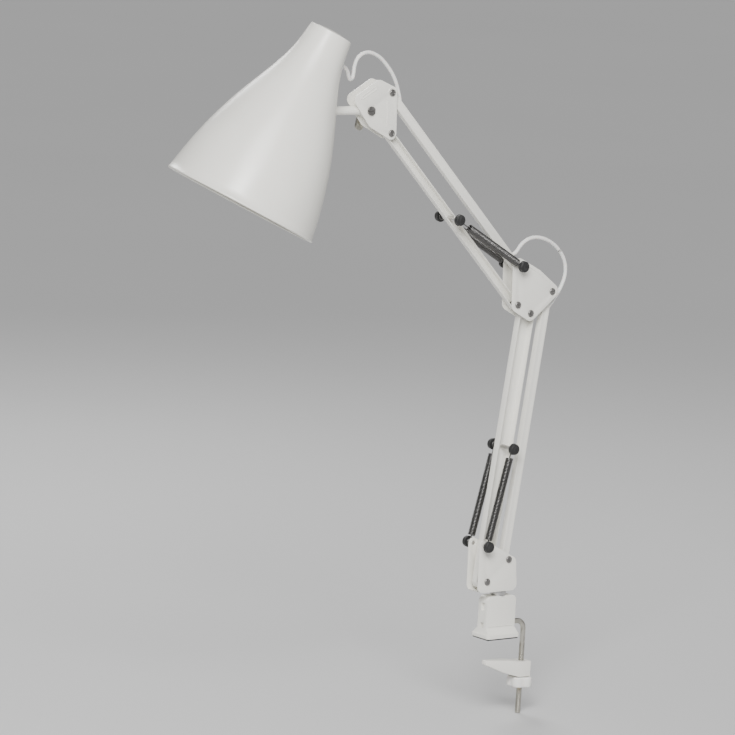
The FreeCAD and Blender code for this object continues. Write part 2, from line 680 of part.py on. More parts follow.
def shadeCurve(inset):
    """The shade's outline from the neck to the mouth, as (radius, depth below the neck end)."""
    start = Vector(size("neckRadius") + size("neckFlare") - inset, 0, -size("neckLength"))
    finish = Vector(size("mouthRadius") - inset, 0, -size("shadeLength"))
    neckAngle = math.radians(size("neckSlope"))
    mouthAngle = math.radians(size("mouthSlope"))
    first = start + Vector(math.sin(neckAngle), 0, -math.cos(neckAngle)) * size("neckPull")
    second = finish + Vector(-math.sin(mouthAngle), 0, math.cos(mouthAngle)) * size("mouthPull")
    curve = Part.BezierCurve()
    curve.setPoles([start, first, second, finish])
    return curve


def wallAt(depth):
    """Radius of the shade's outside at a depth below the neck end."""
    curve = shadeCurve(0)
    low, high = 0.0, 1.0
    for _ in range(40):
        middle = (low + high) / 2
        if -curve.value(middle).z < depth:
            low = middle
        else:
            high = middle
    return curve.value(low).x


shadeRotation = Rotation(Vector(1, 0, 0), size("shadeTurn")) * Rotation(BACK, size("shadeTilt"))
footPoint = tilt - Vector(size("stemReach"), 0, 0)
footLocal = Vector(wallAt(size("footAlong")), 0, -size("footAlong"))
shadePlace = Placement(footPoint - shadeRotation.multVec(footLocal), shadeRotation)


def inShade(point):
    return shadePlace.multVec(point)


def turned(edges):
    return Part.Face(Part.Wire(edges)).revolve(Vector(), UP, 360)


def revolved(points):
    corners = [Vector(radius, 0, height) for radius, height in points]
    edges = [Part.LineSegment(a, b).toShape() for a, b in zip(corners, corners[1:] + corners[:1])]
    return turned(edges)


def placed(shape, label):
    piece = fixed(shape)
    piece.Placement = shadePlace
    keep(piece, label)


def makeShade():
    wall = size("shadeWall")
    neck = size("neckRadius")
    outer = shadeCurve(0)
    inner = shadeCurve(wall)
    edges = [
        Part.LineSegment(Vector(neck, 0, 0), outer.value(0)).toShape(),
        outer.toShape(),
        Part.LineSegment(outer.value(1), inner.value(1)).toShape(),
        inner.toShape(),
        Part.LineSegment(inner.value(0), Vector(neck - wall, 0, 0)).toShape(),
        Part.LineSegment(Vector(neck - wall, 0, 0), Vector(neck, 0, 0)).toShape(),
    ]
    shell = turned(edges)
    rim = Part.makeTorus(size("mouthRadius") - wall / 2, size("rimRadius"),
                         Vector(0, 0, -size("shadeLength") - size("rimDrop")), UP)
    shell = shell.fuse(rim)
    toHead = shadeRotation.inverted().multVec(Vector(1, 0, 0))
    reach = size("footRadius")
    for step in (-1, 1):
        side = shadeRotation.inverted().multVec(Vector(0, 0, step * size("footScrewStep")))
        drill = Part.makeCylinder(size("footScrewRadius") + size("pressFit"), 2 * reach,
                                  footLocal + side - toHead * reach, toHead)
        shell = shell.cut(drill)
    outlet = Part.makeCylinder(size("grommetNeck") + size("pressFit"), size("mouthRadius"),
                               Vector(0, 0, -size("grommetAlong")), Vector(1, 0, 0))
    placed(shell.cut(outlet), "shade")

    dome = size("capDome")
    edge = neck - wall - size("pressFit")
    skirt = size("capSkirt")
    thick = size("domeThick")
    top = domeArc(edge, dome, 0)
    under = domeArc(edge - thick, dome, -thick)
    lines = [Part.LineSegment(Vector(0, 0, dome), Vector(0, 0, dome - thick)).toShape(), under,
             Part.LineSegment(Vector(edge - thick, 0, -thick), Vector(edge - thick, 0, -skirt)).toShape(),
             Part.LineSegment(Vector(edge - thick, 0, -skirt), Vector(edge, 0, -skirt)).toShape(),
             Part.LineSegment(Vector(edge, 0, -skirt), Vector(edge, 0, 0)).toShape()]
    placed(turned([top] + lines), "neck_cap")


def domeArc(edge, rise, height):
    """Half of a shallow dome's outline, from its edge to the axis."""
    radius = (edge ** 2 + rise ** 2) / (2 * rise)
    half = math.asin(edge / radius) / 2
    middle = Vector(radius * math.sin(half), 0, radius * math.cos(half) - radius + rise + height)
    return Part.Arc(Vector(edge, 0, height), middle, Vector(0, 0, rise + height)).toShape()


def makeLampholder():
    outer = size("holderRadius")
    inner = outer - size("holderWall")
    top = -size("holderTop")
    roof = top - size("holderWall")
    joint = top - size("holderCap")
    low = top - size("holderLength")
    hole = size("holderHole")
    placed(revolved([(hole, top), (outer, top), (outer, joint), (inner, joint), (inner, roof), (hole, roof)]),
           "lampholder_cap")
    placed(revolved([(outer, joint), (outer, low), (inner, low), (inner, joint)]), "lampholder_shell")

    thread = size("threadRadius")
    liner = thread + size("threadWall")
    seat = inner - size("pressFit")
    threadLow = low + size("threadInset")
    flange = threadLow + size("threadFlange")
    threadTop = threadLow + size("threadLength")
    placed(revolved([(thread, threadLow), (seat, threadLow), (seat, flange), (liner, flange),
                     (liner, threadTop), (thread, threadTop)]), "lampholder_thread")

    coreLow = threadTop + size("coreAbove")
    coreTop = roof - size("coreAbove")
    plate = coreLow - size("contactThick")
    tip = threadTop + size("contactClear")
    across = size("contactRadius")
    point = size("contactTip")
    placed(revolved([(0, coreLow), (across, coreLow), (across, plate), (point, plate),
                     (point, tip), (0, tip)]), "lampholder_contact")
    placed(revolved([(0, coreLow), (seat, coreLow), (seat, coreTop), (0, coreTop)]), "lampholder_core")

    ringTop = top - size("ringBelow")
    ringLow = ringTop - size("holderRing")
    ringOut = wallAt(max(size("neckLength"), -ringTop)) - size("shadeWall") - size("ringGap")
    ringIn = outer + size("pressFit")
    placed(revolved([(ringIn, ringTop), (ringOut, ringTop), (ringOut, ringLow), (ringIn, ringLow)]),
           "lampholder_ring")
    nippleTop = size("capDome") - size("nippleBelow")
    bore = size("nippleBore")
    nipple = size("nippleRadius")
    placed(revolved([(bore, nippleTop), (nipple, nippleTop), (nipple, coreTop), (bore, coreTop)]),
           "lampholder_nipple")


def shadeBulk(gap):
    """The whole inside of the shade as one solid, grown by a gap."""
    curve = shadeCurve(-gap)
    top = curve.value(0)
    low = curve.value(1)
    edges = [Part.LineSegment(Vector(0, 0, top.z), top).toShape(), curve.toShape(),
             Part.LineSegment(low, Vector(0, 0, low.z)).toShape(),
             Part.LineSegment(Vector(0, 0, low.z), Vector(0, 0, top.z)).toShape()]
    bulk = fixed(turned(edges))
    bulk.Placement = shadePlace
    return bulk


def makeFoot():
    gap = size("openFit")
    forward = Vector(1, 0, 0)
    seat = footPoint - forward * size("footSeat")
    face = footPoint + forward * (size("footThick") + gap)
    deep = f"footThick + footSeat + {gap}"
    drills = [cylinder("spigotRadius + runFit", deep, seat, forward)]
    screws = []
    for step in (-1, 1):
        offset = Vector(0, 0, step * size("footScrewStep"))
        drills.append(cylinder("footScrewRadius + pressFit", deep, seat + offset, forward))
        head = cone("footScrewHead", "footScrewTop", "footScrewTall", face + offset, forward)
        tail = face + offset - forward * (size("footThick") + size("footScrewReach"))
        screws.append(fuse([head, cylinder("footScrewRadius", "footThick + footScrewReach", tail, forward)]))
    plate = cut(cylinder("footRadius", deep, seat, forward), [shadeBulk(gap)])
    keep(cut(plate, drills), "shade_foot")
    keep(group(screws), "shade_foot_screws")
    reach = size("stemReach") - 2 * gap
    half = size("eyeThick") / 2
    eye = cylinder("eyeRadius", "eyeThick", tilt - BACK * half, BACK)
    stem = cone("stemRadius + stemFlare", "stemRadius", f"{reach} - footThick", tilt, -forward)
    spigot = cylinder("spigotRadius", f"{reach}", tilt, -forward)
    bore = cylinder("screwRadius + runFit", "eyeThick + 2 * sink", tilt - BACK * (half + size("sink")), BACK)
    keep(cut(fuse([eye, stem, spigot]), [bore]), "knuckle")


# ---- cord -----------------------------------------------------------------------------------

def cordTube(points, label):
    """Straight runs joined by tangent arcs, each as large as its two runs allow."""
    edges = []
    last = points[0]
    radii = []
    for before, point, after in zip(points, points[1:], points[2:]):
        toPoint = point - before
        away = after - point
        shorter = min(toPoint.Length, away.Length)
        turn = toPoint.getAngle(away)
        trim = 0.45 * shorter
        radii.append(trim / math.tan(turn / 2))
        enter = point - toPoint.normalize() * trim
        leave = point + away.normalize() * trim
        bisector = (enter + leave) * 0.5 - point
        depth = radii[-1] / math.cos(turn / 2) - radii[-1]
        middle = point + bisector.normalize() * depth
        edges.append(Part.LineSegment(last, enter).toShape())
        edges.append(Part.Arc(enter, middle, leave).toShape())
        last = leave
    edges.append(Part.LineSegment(last, points[-1]).toShape())
    path = Part.Wire(edges)
    start = Part.Circle(points[0], points[1] - points[0], size("cordRadius")).toShape()
    shape = path.makePipeShell([Part.Wire([start])], True, False)
    expected = math.pi * size("cordRadius") ** 2 * path.Length
    print(label, "length", round(path.Length, 1), "volume ratio", round(shape.Volume / expected, 4),
          "radii", [round(radius, 1) for radius in radii])
    if abs(shape.Volume / expected - 1) > 0.01:
        raise RuntimeError(f"{label} has a wrong volume")
    keep(fixed(shape), label)


def alongBar(pivot, way, distance, aside):
    """A point beside a bar's centreline, on the side that faces up and right."""
    return pivot + way * distance + Vector(way.z, 0, -way.x) * aside


def makeBarCords():
    """The cord inside the two cord bars; their ends are where the free loops begin."""
    inside = (size("barWall") + size("cordSeat")) / 2
    ends = {}
    for name, pivot, way, span, low, high in (
            ("upper", elbowTop, upperWay, size("upperArm"), 22, 34),
            ("lower", baseRight, lowerWay, size("lowerArm"), 26, 30)):
        ends[name] = (alongBar(pivot, way, low, inside), alongBar(pivot, way, span - high, inside))
        straightCord(*ends[name], f"{name}_bar_cord")
    return inside, ends


def loopPoints(place, offsets):
    return [place + Vector(*offset) for offset in offsets]


def makeCords():
    inside, ends = makeBarCords()
    out = size("slimBar") / 2 + size("cordRadius") + size("cordBeside")
    low, high = ends["upper"]
    route = [low, alongBar(elbowTop, upperWay, 15, inside), alongBar(elbowTop, upperWay, 8, out)]
    route += loopPoints(elbowTop, [(9, 0, 24), (24, 0, 31), (42, 0, 29), (60, 0, 20), (74, 0, 5),
                                   (78, 0, -12), (72, 0, -29)])
    route += [alongBar(baseRight, lowerWay, size("lowerArm") - 14, out + 1), ends["lower"][1] + lowerWay * 5,
              ends["lower"][1]]
    cordTube(route, "elbow_cord")

    leave = shadeRotation.multVec(Vector(1, 0, 0))
    reach = wallAt(size("grommetAlong")) + size("grommetReach")
    grommet = inShade(Vector(reach, 0, -size("grommetAlong")))
    route = [grommet, grommet + leave * 9]
    route += loopPoints(tilt, [(-31, -5, 34), (-24, -3, 36), (-23, -2, 50), (-17, -1, 60), (-4, 0, 65),
                               (12, 0, 60), (26, 0, 48), (37, 0, 34)])
    span = size("upperArm")
    route += [alongBar(elbowTop, upperWay, span - 14, out), alongBar(elbowTop, upperWay, span - 26, inside),
              high]
    cordTube(route, "head_cord")


def makeCordGuides():
    """The grommet in the neck and the guide block at the low end of the lower cord bar."""
    wall = Vector(wallAt(size("grommetAlong")) - size("grommetInside"), 0, -size("grommetAlong"))
    sleeve = size("grommetSleeve")
    nose = size("grommetInside") + size("grommetReach") - sleeve
    stem = Part.makeCylinder(size("grommetNeck"), sleeve, wall, Vector(1, 0, 0))
    cone = Part.makeCone(size("grommetRadius"), size("grommetTip"), nose,
                         wall + Vector(sleeve, 0, 0), Vector(1, 0, 0))
    placed(stem.fuse(cone), "cord_grommet")
    block = box("outletWide", "outletDeep", "outletTall", Vector())
    centred = Placement(Vector(-size("outletWide") / 2, -size("outletDeep") / 2, 0), Rotation())
    outlet = alongBar(baseRight, lowerWay, size("outletUp"), size("outletAside"))
    block.Placement = Placement(outlet, Rotation(UP, lowerWay)).multiply(centred)
    keep(block, "cord_outlet")


def straightCord(start, finish, label):
    way = finish - start
    piece = doc.addObject("Part::Cylinder", "CordRun")
    piece.setExpression("Radius", "Sizes.cordRadius")
    piece.Height = way.Length
    piece.Placement = Placement(start, Rotation(UP, way))
    keep(piece, label)


def main():
    makeClamp()
    makeHookBolt()
    makeJaw()
    makeClampNut()
    makeBaseBracket()
    makeArms()
    makeElbow()
    makeHead()
    makeWingNut()
    makeShade()
    makeLampholder()
    makeFoot()
    makeCords()
    makeCordGuides()
    doc.recompute()
    for piece in doc.Objects:
        if "Invalid" in piece.State or "Error" in piece.State:
            raise RuntimeError(f"{piece.Name} {piece.Label} is {piece.State}")
    os.makedirs("parts", exist_ok=True)
    for piece in nodes:
        if piece.Shape.isNull() or not piece.Shape.isValid():
            raise RuntimeError(f"{piece.Label} has a bad shape")
    for piece in nodes:
        piece.Shape.exportStep(f"parts/{piece.Label}.step")
    print(len(nodes), "nodes")


main()
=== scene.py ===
import json
import math

import bmesh
import bpy
from mathutils import Matrix, Vector

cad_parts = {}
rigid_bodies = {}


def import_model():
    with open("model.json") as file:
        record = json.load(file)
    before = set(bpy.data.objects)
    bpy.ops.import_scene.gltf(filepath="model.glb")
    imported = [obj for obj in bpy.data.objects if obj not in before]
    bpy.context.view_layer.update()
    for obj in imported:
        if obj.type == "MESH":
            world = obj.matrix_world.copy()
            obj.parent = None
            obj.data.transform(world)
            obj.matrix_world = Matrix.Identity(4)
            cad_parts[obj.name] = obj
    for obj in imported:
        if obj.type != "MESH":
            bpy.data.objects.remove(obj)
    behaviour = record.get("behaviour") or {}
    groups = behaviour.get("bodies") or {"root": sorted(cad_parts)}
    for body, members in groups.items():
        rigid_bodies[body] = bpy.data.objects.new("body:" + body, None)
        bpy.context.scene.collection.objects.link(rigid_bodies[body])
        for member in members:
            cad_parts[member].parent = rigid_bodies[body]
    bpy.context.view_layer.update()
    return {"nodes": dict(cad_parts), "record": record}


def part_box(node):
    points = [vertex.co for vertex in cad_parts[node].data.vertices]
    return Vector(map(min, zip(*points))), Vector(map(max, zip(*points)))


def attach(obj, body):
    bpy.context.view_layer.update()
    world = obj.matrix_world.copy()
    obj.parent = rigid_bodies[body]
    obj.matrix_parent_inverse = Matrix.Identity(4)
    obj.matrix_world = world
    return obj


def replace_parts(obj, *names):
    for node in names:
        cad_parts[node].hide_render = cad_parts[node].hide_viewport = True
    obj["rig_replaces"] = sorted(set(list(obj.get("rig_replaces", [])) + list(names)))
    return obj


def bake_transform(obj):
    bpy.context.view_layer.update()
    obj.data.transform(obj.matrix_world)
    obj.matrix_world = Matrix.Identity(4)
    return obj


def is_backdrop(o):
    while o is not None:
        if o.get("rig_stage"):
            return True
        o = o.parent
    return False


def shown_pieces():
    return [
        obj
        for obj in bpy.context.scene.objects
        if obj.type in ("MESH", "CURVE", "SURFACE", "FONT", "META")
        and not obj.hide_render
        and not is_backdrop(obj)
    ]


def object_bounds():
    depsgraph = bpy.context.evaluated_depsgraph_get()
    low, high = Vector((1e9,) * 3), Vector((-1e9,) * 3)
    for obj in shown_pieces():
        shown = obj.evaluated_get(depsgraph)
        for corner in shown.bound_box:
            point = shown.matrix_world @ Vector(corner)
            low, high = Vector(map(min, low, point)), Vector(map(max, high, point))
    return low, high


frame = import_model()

# Swing arm desk lamp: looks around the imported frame, in metres, +Z up, shade towards -X.

record = frame["record"]
joints = record["behaviour"]["joints"]
jointAt = {joint["name"]: Vector(joint["pos_m"]) for joint in joints if joint.get("pos_m")}
bodyOf = {node: body for body, names in record["behaviour"]["bodies"].items() for node in names}
slotOf = {part["node"]: part["material_slot"] for part in record["subparts"]}

mm = 0.001
acrossX, towardsBack, upwards = Vector((1, 0, 0)), Vector((0, 1, 0)), Vector((0, 0, 1))

baseLeft, baseRight = jointAt["lower_wide_bar_swing"], jointAt["lower_arm_swing"]
elbowLeft, elbowRight = jointAt["upper_plain_bar_swing"], jointAt["elbow_level"]
elbowTop, headTop = jointAt["upper_arm_swing"], jointAt["head_level"]
tiltPoint = jointAt["head_tilt"]
springPost = jointAt["lower_springs_turn"]
lowerPeg, upperPeg = jointAt["lower_hooks_turn"], jointAt["upper_hooks_turn"]
elbowLow = baseLeft + (elbowRight - baseRight)
headLow = elbowLeft + (headTop - elbowTop)
lowerArm, upperArm = (elbowRight - baseRight).length, (headTop - elbowTop).length
lowerWay, upperWay = (elbowRight - baseRight).normalized(), (headTop - elbowTop).normalized()

socket = next(mount for mount in record["mounts"] if mount["name"] == "bulb_socket")
shadeUp = -Vector(socket["axis"]).normalized()
shadeSide = (acrossX - shadeUp * shadeUp.x).normalized()
socketDepth = 40 * mm
neckEnd = Vector(socket["pos_m"]) + shadeUp * socketDepth
shadeTurn = Matrix((shadeSide, shadeUp.cross(shadeSide), shadeUp)).transposed()
shadeFrame = Matrix.Translation(neckEnd) @ shadeTurn.to_4x4()


# materials

class Socket:
    # a shader value that takes part in plain sums and products
    def __init__(self, shader, link):
        self.shader, self.link = shader, link

    def maths(self, operation, first, second):
        return self.shader.node("ShaderNodeMath", {"operation": operation}, {0: first, 1: second})

    def __add__(self, other):
        return self.maths("ADD", self, other)

    def __rsub__(self, other):
        return self.maths("SUBTRACT", other, self)

    def __mul__(self, other):
        return self.maths("MULTIPLY", self, other)


class Finish:
    # one material: its Principled shader and the nodes that feed it
    def __init__(self, name, **constants):
        self.material = bpy.data.materials.new(name)
        self.material.use_nodes = True
        self.tree = self.material.node_tree
        self.shader = self.tree.nodes["Principled BSDF"]
        for socketName, value in constants.items():
            self.shader.inputs[socketName.replace("_", " ")].default_value = value
        self.place = self.node("ShaderNodeTexCoord", output="Object")

    def node(self, kind, settings=None, inputs=None, output=0):
        made = self.tree.nodes.new(kind)
        for name, value in (settings or {}).items():
            setattr(made, name, value)
        for name, value in (inputs or {}).items():
            if isinstance(value, Socket):
                self.tree.links.new(value.link, made.inputs[name])
            else:
                made.inputs[name].default_value = value
        return Socket(self, made.outputs[output])

    def noise(self, size, detail=3, roughness=0.5, stretch=(1, 1, 1)):
        # soft noise between 0 and 1, with lumps about as wide as size in metres
        place = self.node("ShaderNodeMapping", None, {"Vector": self.place, "Scale": stretch})
        return self.node("ShaderNodeTexNoise", None,
                         {"Vector": place, "Scale": 1 / size, "Detail": detail, "Roughness": roughness})

    def mask(self, value, low, high):
        return self.node("ShaderNodeMapRange", {"interpolation_type": "SMOOTHSTEP"},
                         {"Value": value, "From Min": low, "From Max": high})

    def blendColours(self, amount, first, second):
        return self.node("ShaderNodeMix", {"data_type": "RGBA"}, {0: amount, 6: first, 7: second}, output=2)

    def feed(self, **sockets):
        for name, value in sockets.items():
            self.tree.links.new(value.link, self.shader.inputs[name.replace("_", " ")])

    def bump(self, height, strength, distance):
        self.feed(Normal=self.node("ShaderNodeBump", None,
                                   {"Height": height, "Strength": strength, "Distance": distance}))


def grey(value, warm=0.0):
    return (value * (1 + warm), value, value * (1 - warm), 1)


def darker(colour, share):
    return [channel * share for channel in colour[:3]] + [1]


def satinPaint(name, colour, peel, gloss):
    # stove paint: a fine orange peel, faint clouds in tone and gloss, and a little dust in the film
    finish = Finish(name, Coat_Roughness=0.22, IOR=1.5)
    clouds = finish.noise(45 * mm, 4)
    fine = finish.noise(peel, 2, 0.4)
    dust = finish.mask(finish.noise(0.7 * mm, 1), 0.70, 0.78)
    tone = finish.blendColours(clouds, darker(colour, 0.93), colour)
    finish.feed(Base_Color=finish.blendColours(dust * 0.10, tone, grey(0.52, 0.05)))
    finish.feed(Roughness=clouds * 0.10 + fine * 0.07 + (gloss - 0.08))
    finish.feed(Coat_Weight=0.38 - clouds * 0.2)
    finish.bump(fine + dust * 0.25, 0.16, 0.12 * mm)
    return finish.material


def mouldedPlastic(name, colour, gloss):
    finish = Finish(name, IOR=1.46, Subsurface_Weight=0.04, Subsurface_Scale=1.5 * mm)
    cloud = finish.noise(18 * mm, 3)
    grain = finish.noise(0.35 * mm, 2)
    finish.feed(Base_Color=finish.blendColours(cloud, darker(colour, 0.95), colour))
    finish.feed(Roughness=grain * 0.16 + cloud * 0.08 + (gloss - 0.12))
    finish.bump(grain, 0.12, 0.05 * mm)
    return finish.material


def cordJacket(name, colour):
    # soft PVC: a drawn surface with scuffs where it bends
    finish = Finish(name, IOR=1.5, Subsurface_Weight=0.05, Subsurface_Scale=mm)
    scuff = finish.mask(finish.noise(6 * mm, 4, 0.6), 0.52, 0.72)
    grain = finish.noise(0.3 * mm, 2)
    finish.feed(Base_Color=finish.blendColours(scuff * 0.5, colour, grey(0.66, 0.02)))
    finish.feed(Roughness=grain * 0.12 + scuff * 0.14 + 0.36)
    finish.bump(grain + scuff * 0.4, 0.14, 0.06 * mm)
    return finish.material


def dullRubber(name):
    finish = Finish(name, IOR=1.45, Sheen_Weight=0.12)
    bloom = finish.mask(finish.noise(5 * mm, 4, 0.6), 0.48, 0.75)
    grain = finish.noise(0.4 * mm, 3)
    finish.feed(Base_Color=finish.blendColours(bloom * 0.6, grey(0.012), grey(0.05, 0.03)))
    finish.feed(Roughness=grain * 0.18 + bloom * 0.12 + 0.46)
    finish.bump(grain, 0.3, 0.08 * mm)
    return finish.material


def wornMetal(name, bright, dark, roughness, grain=(1, 1, 1)):
    # drawn or plated metal: fine scratches along grain, and darker stains that are rougher
    finish = Finish(name, Metallic=1.0)
    stain = finish.mask(finish.noise(9 * mm, 5, 0.6), 0.35, 0.8)
    scratch = finish.noise(0.5 * mm, 4, 0.7, grain)
    finish.feed(Base_Color=finish.blendColours(stain * 0.45, bright, dark))
    finish.feed(Roughness=scratch * 0.14 + stain * 0.08 + (roughness - 0.1))
    finish.bump(scratch, 0.1, 0.03 * mm)
    return finish.material


def glazedCeramic(name, colour):
    finish = Finish(name, IOR=1.52, Coat_Roughness=0.1)
    pores = finish.mask(finish.noise(0.8 * mm, 3), 0.62, 0.7)
    finish.feed(Base_Color=finish.blendColours(pores * 0.4, colour, grey(0.5, 0.08)))
    finish.feed(Roughness=pores * 0.3 + 0.28, Coat_Weight=0.4 - pores * 0.3)
    finish.bump(pores, 0.2, 0.08 * mm)
    return finish.material


ivory = (0.88, 0.865, 0.80, 1)
materials = {
    "white_paint": satinPaint("white_paint_finish", ivory, peel=0.9 * mm, gloss=0.34),
    "white_plastic": mouldedPlastic("white_plastic_finish", (0.85, 0.84, 0.80, 1), gloss=0.42),
    "white_cord": cordJacket("white_cord_finish", (0.85, 0.84, 0.81, 1)),
    "black_rubber": dullRubber("black_rubber_finish"),
    "spring_steel": wornMetal("spring_steel_finish", grey(0.17, 0.02), grey(0.06, 0.05), 0.36),
    "dark_steel": wornMetal("dark_steel_finish", grey(0.26, 0.03), grey(0.09, 0.06), 0.40),
    "zinc_steel": wornMetal("zinc_steel_finish", grey(0.62, 0.01), grey(0.40, 0.03), 0.36, (1, 6, 1)),
    "plated_steel": wornMetal("plated_steel_finish", (0.56, 0.54, 0.48, 1), (0.32, 0.30, 0.26, 1), 0.30,
                              (5, 5, 1)),
    "brass": wornMetal("brass_finish", (0.80, 0.60, 0.28, 1), (0.42, 0.27, 0.10, 1), 0.32),
    "ceramic": glazedCeramic("ceramic_finish", (0.84, 0.82, 0.77, 1)),
}
print("materials:", len(materials))


# builders shared by the pieces

def finishPiece(name, shape, nodes, body=None, slot=None, smoothUnder=34):
    # the mesh becomes a piece that stands for the nodes and rides on the first node's body or on the body
    # given; a piece given a pair of bodies with blend places is only baked where it lies, on no body
    mesh = bpy.data.meshes.new(name)
    shape.to_mesh(mesh)
    shape.free()
    slot = slot or slotOf[nodes[0]]
    mesh.materials.append(materials[slot])
    mesh.polygons.foreach_set("use_smooth", [True] * len(mesh.polygons))
    mesh.set_sharp_from_angle(angle=math.radians(smoothUnder))
    piece = bpy.data.objects.new(name, mesh)
    bpy.context.scene.collection.objects.link(piece)
    if isinstance(body, tuple):
        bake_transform(piece)
    else:
        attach(piece, body or bodyOf[nodes[0]])
    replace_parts(piece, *nodes)
    return piece


def roundEdges(shape, width, segments=2, over=38):
    edges = [edge for edge in shape.edges
             if len(edge.link_faces) == 2 and edge.calc_face_angle(0) > math.radians(over)]
    bmesh.ops.bevel(shape, geom=edges, offset=width, offset_type="OFFSET", segments=segments, profile=0.5,
                    affect="EDGES", clamp_overlap=True, material=-1)


def copyOf(node):
    source = frame["nodes"][node]
    shape = bmesh.new()
    shape.from_mesh(source.data)
    shape.transform(source.matrix_world)
    bmesh.ops.remove_doubles(shape, verts=shape.verts, dist=0.002 * mm)
    bmesh.ops.dissolve_limit(shape, angle_limit=math.radians(0.8), verts=shape.verts, edges=shape.edges)
    return shape


def softened(node, width, segments=2):
    shape = copyOf(node)
    roundEdges(shape, width, segments)
    return finishPiece(f"{node}_soft", shape, [node])


def turned(shape, profile, place, axis, steps):
    # a turned solid: radius and height pairs, spun about the axis through the place
    turn = upwards.rotation_difference(axis).to_matrix().to_4x4()
    before = set(shape.verts)
    verts = [shape.verts.new((radius, 0, height)) for radius, height in profile]
    edges = [shape.edges.new(pair) for pair in zip(verts, verts[1:])]
    bmesh.ops.spin(shape, geom=verts + edges, cent=(0, 0, 0), axis=(0, 0, 1), angle=2 * math.pi, steps=steps,
                   use_merge=True)
    added = [vert for vert in shape.verts if vert not in before]
    bmesh.ops.remove_doubles(shape, verts=added, dist=0.001 * mm)
    added = [vert for vert in shape.verts if vert not in before]
    bmesh.ops.recalc_face_normals(shape, faces=list({face for vert in added for face in vert.link_faces}))
    bmesh.ops.transform(shape, matrix=Matrix.Translation(place) @ turn, verts=added)
    return added


def wireCircle(shape, place, radius, segments=8):
    # a circle across the way of turning about Z, ready to be spun, with its edges
    matrix = Matrix.Translation(place) @ Matrix.Rotation(math.pi / 2, 4, "X")
    ring = bmesh.ops.create_circle(shape, segments=segments, radius=radius, matrix=matrix)
    return ring["verts"] + list({edge for vert in ring["verts"] for edge in vert.link_edges})


def arcPoints(centre, radius, start, finish, count):
    # radius and height pairs along an arc, the angles in degrees from the radius direction
    angles = [math.radians(start + (finish - start) * step / count) for step in range(count + 1)]
    return [(centre[0] + radius * math.cos(angle), centre[1] + radius * math.sin(angle)) for angle in angles]


def tubeAlong(points, radius, sides=5):
    # a round wire or cord through the points, as a mesh
    curve = bpy.data.curves.new("tube", "CURVE")
    curve.dimensions = "3D"
    curve.bevel_depth, curve.bevel_resolution, curve.use_fill_caps = radius, sides, True
    spline = curve.splines.new("POLY")
    spline.points.add(len(points) - 1)
    for control, place in zip(spline.points, points):
        control.co = (*place, 1)
    holder = bpy.data.objects.new("tube", curve)
    bpy.context.scene.collection.objects.link(holder)
    shape = bmesh.new()
    shape.from_mesh(bpy.data.meshes.new_from_object(holder))
    bpy.data.objects.remove(holder)
    bmesh.ops.remove_doubles(shape, verts=shape.verts, dist=0.001 * mm)
    return shape


def smoothRoute(points):
    # the line of a smooth cord through its control points
    curve = bpy.data.curves.new("route", "CURVE")
    curve.dimensions, curve.resolution_u = "3D", 10
    spline = curve.splines.new("NURBS")
    spline.points.add(len(points) - 1)
    for control, place in zip(spline.points, points):
        control.co = (*place, 1)
    spline.order_u, spline.use_endpoint_u = 3, True
    holder = bpy.data.objects.new("route", curve)
    bpy.context.scene.collection.objects.link(holder)
    line = [vert.co.copy() for vert in bpy.data.meshes.new_from_object(holder).vertices]
    bpy.data.objects.remove(holder)
    return line


# shade

shadeSizes = {"length": 210 * mm, "neck": 24.5 * mm, "neckFlare": 2 * mm, "neckLength": 14 * mm,
              "mouth": 87.5 * mm, "neckPull": 55 * mm, "neckSlope": 7, "mouthPull": 115 * mm, "mouthSlope": 9,
              "wall": 0.9 * mm, "rim": 1.38 * mm, "steps": 128, "rows": 36,
              "rimStart": 72, "rimEnd": -252, "rimSteps": 14}


def shadeRadius(share):
    # radius and depth along the flare, from the neck's edge at 0 to the mouth at 1
    sizes = shadeSizes
    neckSlope, mouthSlope = math.radians(sizes["neckSlope"]), math.radians(sizes["mouthSlope"])
    start = Vector((sizes["neck"] + sizes["neckFlare"], sizes["neckLength"]))
    finish = Vector((sizes["mouth"], sizes["length"]))
    first = start + Vector((math.sin(neckSlope), math.cos(neckSlope))) * sizes["neckPull"]
    second = finish - Vector((math.sin(mouthSlope), math.cos(mouthSlope))) * sizes["mouthPull"]
    rest = 1 - share
    near = start * rest ** 3 + first * 3 * share * rest ** 2
    return near + second * 3 * share ** 2 * rest + finish * share ** 3


def wallAt(depth):
    low, high = 0.0, 1.0
    for _ in range(40):
        middle = (low + high) / 2
        low, high = (middle, high) if shadeRadius(middle).y < depth else (low, middle)
    return shadeRadius(low).x


def makeShade():
    sizes = shadeSizes
    shape = bmesh.new()
    curve = [shadeRadius(row / sizes["rows"]) for row in range(sizes["rows"] + 1)]
    outer = [(sizes["neck"], 0), (sizes["neck"] + sizes["neckFlare"] / 2, -sizes["neckLength"] / 2)]
    outer += [(point.x, -point.y) for point in curve]
    inner = [(radius - sizes["wall"], height) for radius, height in reversed(outer)]
    rimCentre = (sizes["mouth"] - sizes["wall"] / 2, -sizes["length"])
    rim = arcPoints(rimCentre, sizes["rim"], sizes["rimStart"], sizes["rimEnd"], sizes["rimSteps"])
    turned(shape, outer[:-1] + rim + inner[1:] + [outer[0]], neckEnd, shadeUp, sizes["steps"])
    finishPiece("shade_spun", shape, ["shade"], smoothUnder=60)


capShape = {"dome": 2.75 * mm, "inside": 0.15 * mm, "skirt": 2 * mm, "thick": 1.2 * mm, "roll": 0.6 * mm,
            "rollDown": 0.2 * mm, "step": 0.5 * mm, "rollSteps": 6, "domeSteps": 14, "steps": 96}


